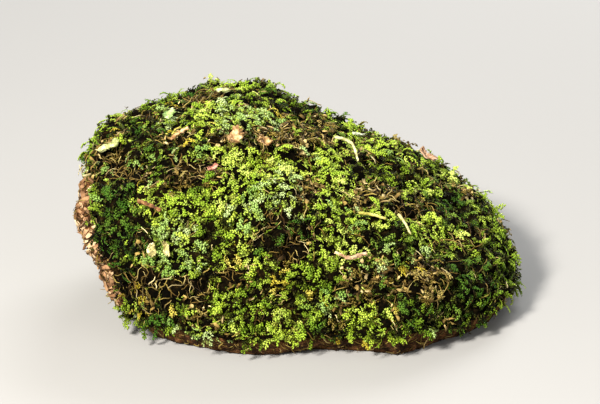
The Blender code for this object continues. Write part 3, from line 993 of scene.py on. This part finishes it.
def makeFlake(seed):
    # a curled scale of dead leaf or bark, a few faces each way
    rng, bm, uvLayer = newShape(seed)
    bmesh.ops.create_grid(bm, x_segments=3, y_segments=2, size=0.5)
    length, width = rng.uniform(*flake["length"]), rng.uniform(*flake["width"])
    curl, cup = rng.uniform(*flake["curl"]), rng.uniform(*flake["cup"])
    spots = {}
    for v in bm.verts:
        x, y = v.co.x * 2 + rng.uniform(-0.18, 0.18), v.co.y * 2 + rng.uniform(-0.15, 0.15)
        narrow = (1 - 0.4 * abs(x)) * rng.uniform(0.45, 1.2)
        spots[v] = (0.62 + 0.2 * x, 0.01 * y)
        v.co = Vector((
            x * length / 2, y * narrow * width / 2,
            (cup * y * y * 0.35 * width) - curl * x * x * length * 0.3,
        ))
    old = set(bm.verts)
    bmesh.ops.solidify(bm, geom=bm.faces[:], thickness=flake["thickness"])
    for v in bm.verts:
        if v not in old:
            nearest = min(old, key=lambda o: (o.co - v.co).length_squared)
            spots[v] = (spots[nearest][0] - 0.06, spots[nearest][1] + 0.004)
    setSpots(bm, uvLayer, spots)
    bmesh.ops.triangulate(bm, faces=bm.faces)
    return shapeArrays(bm, uvLayer)


def makeCrumb(seed):
    # a crumb of peat, lumpy and a little flat
    rng, bm, uvLayer = newShape(seed)
    bmesh.ops.create_icosphere(bm, subdivisions=1, radius=crumb["radius"])
    spots = {}
    for v in bm.verts:
        x, y, z = v.co / crumb["radius"]
        spots[v] = (0.5 + 0.03 * x + 0.017 * z, 0.012 * y + 0.006 * z)
        v.co *= rng.uniform(*crumb["lumpy"])
        v.co.z *= crumb["flat"]
    setSpots(bm, uvLayer, spots)
    return shapeArrays(bm, uvLayer)


def uncovered(gap, seed, fromZ, toX):
    # points of the duff that the moss doesn't hide
    cover = BVHTree.FromPolygons(
        [v.co[:] for v in bodyMesh.vertices], [p.vertices[:] for p in bodyMesh.polygons]
    )
    points, normals = spread(duffMesh, gap, seed, lambda p, n: n[2] > -0.7 and p[2] > fromZ and p[0] < toX)
    seen = [
        i for i, (p, n) in enumerate(zip(points, normals))
        if cover.ray_cast(Vector(p) + Vector(n) * 0.3 * mm, Vector(n), 12 * mm)[0] is None
    ]
    return points[seen], normals[seen]


def strewDuff(name, shapeList, gap, seed, mat, slotName, fromZ, toX, sink, hues):
    rng = np.random.default_rng(seed)
    rows = []
    points, normals = uncovered(gap, seed + 1, fromZ, toX)
    for point, normal in zip(points, normals):
        size, roll, pitch = rng.uniform(0.7, 1.2), rng.uniform(-0.4, 0.4), rng.uniform(-0.4, 0.15)
        matrix = layOn(point, normal, rng, sink, size, roll, pitch)
        hue = inRamp(rng.uniform(*hues))
        rows.append((int(rng.integers(len(shapeList))), matrix, rng.uniform(-0.25, 0.12), hue))
    mesh = joinCopies(name, shapeList, rows)
    print(name, len(rows), "pieces,", len(mesh.polygons), "faces")
    addPiece(name, mesh, mat, slotName, "duff_backing")


flakes = [makeFlake(400 + i) for i in range(flake["shapes"])]
crumbs = [makeCrumb(500 + i) for i in range(crumb["shapes"])]
scaleTan = fibreMaterial(
    "dead leaf scales, curled", ("#4c3a18", "#7e682e", "#aa904e", "#ceb878", "#e6daa4")
)
lipTan = fibreMaterial(
    "bark-like scales, curled", ("#6c4a2e", "#9c7450", "#b89068", "#d0ae84", "#e4cca4")
)
foot, lipFoot = cadLow.z + 1.5 * mm, 7 * mm
anyX, lipX = cadHigh.x, cadLow.x + 26 * mm
# shapes, spacing, seed, material, slot, from which level up, as far as which X, sink, hues
strewn = {
    "duff_fibres": (stems, 2.6 * mm, 81, stemBrown, "dead_stem", foot, anyX, -0.2 * mm, (0, 0.8)),
    "duff_crumbs": (crumbs, 3.0 * mm, 85, stemBrown, "duff", foot, anyX, 0.2 * mm, (0, 0.5)),
    "lip_scales": (flakes, 1.9 * mm, 83, lipTan, "dead_leaf", lipFoot, lipX, -0.2 * mm, (0, 1)),
}
for name, settings in strewn.items():
    strewDuff(name, *settings)


# tan leaf scales lying where the moss has died back
litter = {
    "spacing": 2.6 * mm,
    "lowest": 6 * mm,
    "lead": (-0.05, 0.12),  # by how much dead moss must lead there, and its scatter
    "lift": (2.2 * mm, 3.8 * mm),
    "size": (0.35, 0.85),
    "roll": (-0.6, 0.6),
    "pitch": (-0.4, 0.4),
    "shade": (-0.3, 0.1),
}


def strewLitter():
    rng = np.random.default_rng(91)
    lowest = cadLow.z + litter["lowest"]
    roots, normals = spread(bodyMesh, litter["spacing"], 92, lambda p, n: n[2] > -0.3 and p[2] > lowest)
    score = kindScores(roots)
    lead = strongest(score, "dead") - strongest(score, *liveKinds, "bare")
    rows = []
    for i in np.flatnonzero(lead > rng.normal(*litter["lead"], len(roots))):
        lift, size = rng.uniform(*litter["lift"]), rng.uniform(*litter["size"])
        roll, pitch = rng.uniform(*litter["roll"]), rng.uniform(*litter["pitch"])
        matrix = layOn(roots[i], normals[i], rng, -lift, size, roll, pitch)
        hue = inRamp(rng.beta(1.7, 2.0))
        rows.append((int(rng.integers(len(flakes))), matrix, rng.uniform(*litter["shade"]), hue))
    mesh = joinCopies("leaf_litter", flakes, rows)
    print("leaf_litter", len(rows), "scales,", len(mesh.polygons), "faces")
    addPiece("leaf_litter", mesh, scaleTan, "dead_leaf", "moss_mat")


strewLitter()


# loose bits caught in the moss: twig or leaf, dark, middle and light colour, how far it is crumpled
bits = {
    "bent_twig": ("twig", "#7c5a40", "#b8926e", "#e2c8a6", 0.35),
    "brown_twig": ("twig", "#3c2412", "#70492a", "#a07848", 0.35),
    "tan_twig": ("twig", "#7c5630", "#b88c5c", "#e4c498", 0.25),
    "arched_stalk": ("twig", "#949058", "#c8c488", "#e8e4bc", 0.15),
    "yellow_stalk": ("twig", "#847c34", "#b4ac50", "#d8d084", 0.15),
    "pale_needle": ("twig", "#8c8448", "#c0b874", "#e0dca4", 0.12),
    "leaf_bit_left": ("leaf", "#6a4826", "#b48e5e", "#e4cca0", 1.0),
    "leaf_bit_right": ("leaf", "#5c3c1c", "#a07a48", "#dcbc88", 1.0),
    "cream_leaf": ("leaf", "#7c8444", "#bcc084", "#e0e0b8", 0.8),
    "white_flake": ("leaf", "#98a080", "#ccd4b0", "#f0f2dc", 0.6),
    "margin_leaf": ("leaf", "#747c40", "#b4b878", "#e0e0b4", 0.8),
    "round_leaf": ("leaf", "#5c7c38", "#98b068", "#ccd8a4", 0.7),
    "curled_leaf": ("leaf", "#7c5638", "#bc9674", "#ecd0b4", 0.9),
    "husk_left": ("leaf", "#6c6438", "#b8ac6c", "#ece4b0", 0.8),
    "husk_right": ("leaf", "#645c30", "#b0a464", "#e8dca4", 0.8),
    "pink_scale": ("leaf", "#663428", "#a86c5a", "#dca890", 0.8),
}


# how they are crumpled and torn
wear = {
    "twigLumps": 1.6 * mm,
    "leafLumps": 4.5 * mm,
    "depth": 2.2 * mm,
    "tear": 0.9,            # how far a leaf's edge is torn in
    "tearSize": 0.4,
}


def bitMaterial(name, kind, dark, middle, light):
    # a dry leaf is papery, a weathered twig duller: both have dark creases and pale blotches
    leafy = kind == "leaf"
    finish = "dry leaf, papery" if leafy else "dead twig, weathered"
    mat, tree, shader = newMaterial(f"{finish}, {name}", 0.6 if leafy else 0.8, 0.25)
    place = addNode(tree, "ShaderNodeTexCoord").outputs["Object"]
    blotch = addNode(tree, "ShaderNodeTexNoise", {"Vector": place, "Scale": 1 / (3.2 * mm), "Detail": 3.0})
    fine = addNode(
        tree, "ShaderNodeTexVoronoi", {"Vector": place, "Scale": 1 / (1.1 * mm)}, feature="DISTANCE_TO_EDGE"
    )
    vein = addNode(tree, "ShaderNodeMath", {0: fine.outputs["Distance"], 1: 0.35}, operation="MULTIPLY")
    both = addNode(tree, "ShaderNodeMath", {0: blotch.outputs["Fac"], 1: vein.outputs[0]}, operation="ADD")
    ramp = addNode(tree, "ShaderNodeValToRGB", {"Fac": both.outputs[0]})
    setRamp(ramp, ((0.38, dark), (0.54, middle), (0.72, light)))
    tree.links.new(ramp.outputs["Color"], shader.inputs["Base Color"])
    bump = addNode(
        tree, "ShaderNodeBump", {"Height": vein.outputs[0], "Strength": 0.5, "Distance": 0.3 * mm}
    )
    tree.links.new(bump.outputs["Normal"], shader.inputs["Normal"])
    return mat


def makeBit(name, seed, kind, dark, middle, light, crumple):
    # the plain solid, cut finer, then crumpled and frayed
    bm = mergedCopy(name)
    bmesh.ops.subdivide_edges(bm, edges=bm.edges, cuts=2 if len(bm.faces) < 120 else 1, use_grid_fill=True)
    bmesh.ops.triangulate(bm, faces=bm.faces)
    mesh = bpy.data.meshes.new(name)
    bm.to_mesh(mesh)
    bm.free()
    co, _ = meshArrays(mesh)
    if kind == "leaf":
        centre = co.mean(axis=0)
        reach = co - centre
        heading = reach / np.linalg.norm(reach, axis=1)[:, None]
        torn = wear["tear"] * np.abs(noiseAt(heading, wear["tearSize"], seed + 3))
        co = centre + reach * (1 - torn)[:, None]
    for axis in range(3):
        co[:, axis] += noiseAt(co, wear[f"{kind}Lumps"], seed + axis) * crumple * wear["depth"]
    mesh.vertices.foreach_set("co", co.ravel())
    mesh.shade_smooth()
    mesh.update()
    mat = bitMaterial(name, kind, dark, middle, light)
    addPiece(f"{name}_worn", mesh, mat, "dead_leaf" if kind == "leaf" else "dead_stem", name)


for seed, (name, settings) in enumerate(bits.items()):
    makeBit(name, 600 + 3 * seed, *settings)
print("loose bits", len(bits))

pieces = [o for o in bpy.data.objects if o.type == "MESH" and o.name not in nodes and o.name != "floor"]
print("triangles in all", sum(len(p.vertices) - 2 for o in pieces for p in o.data.polygons))
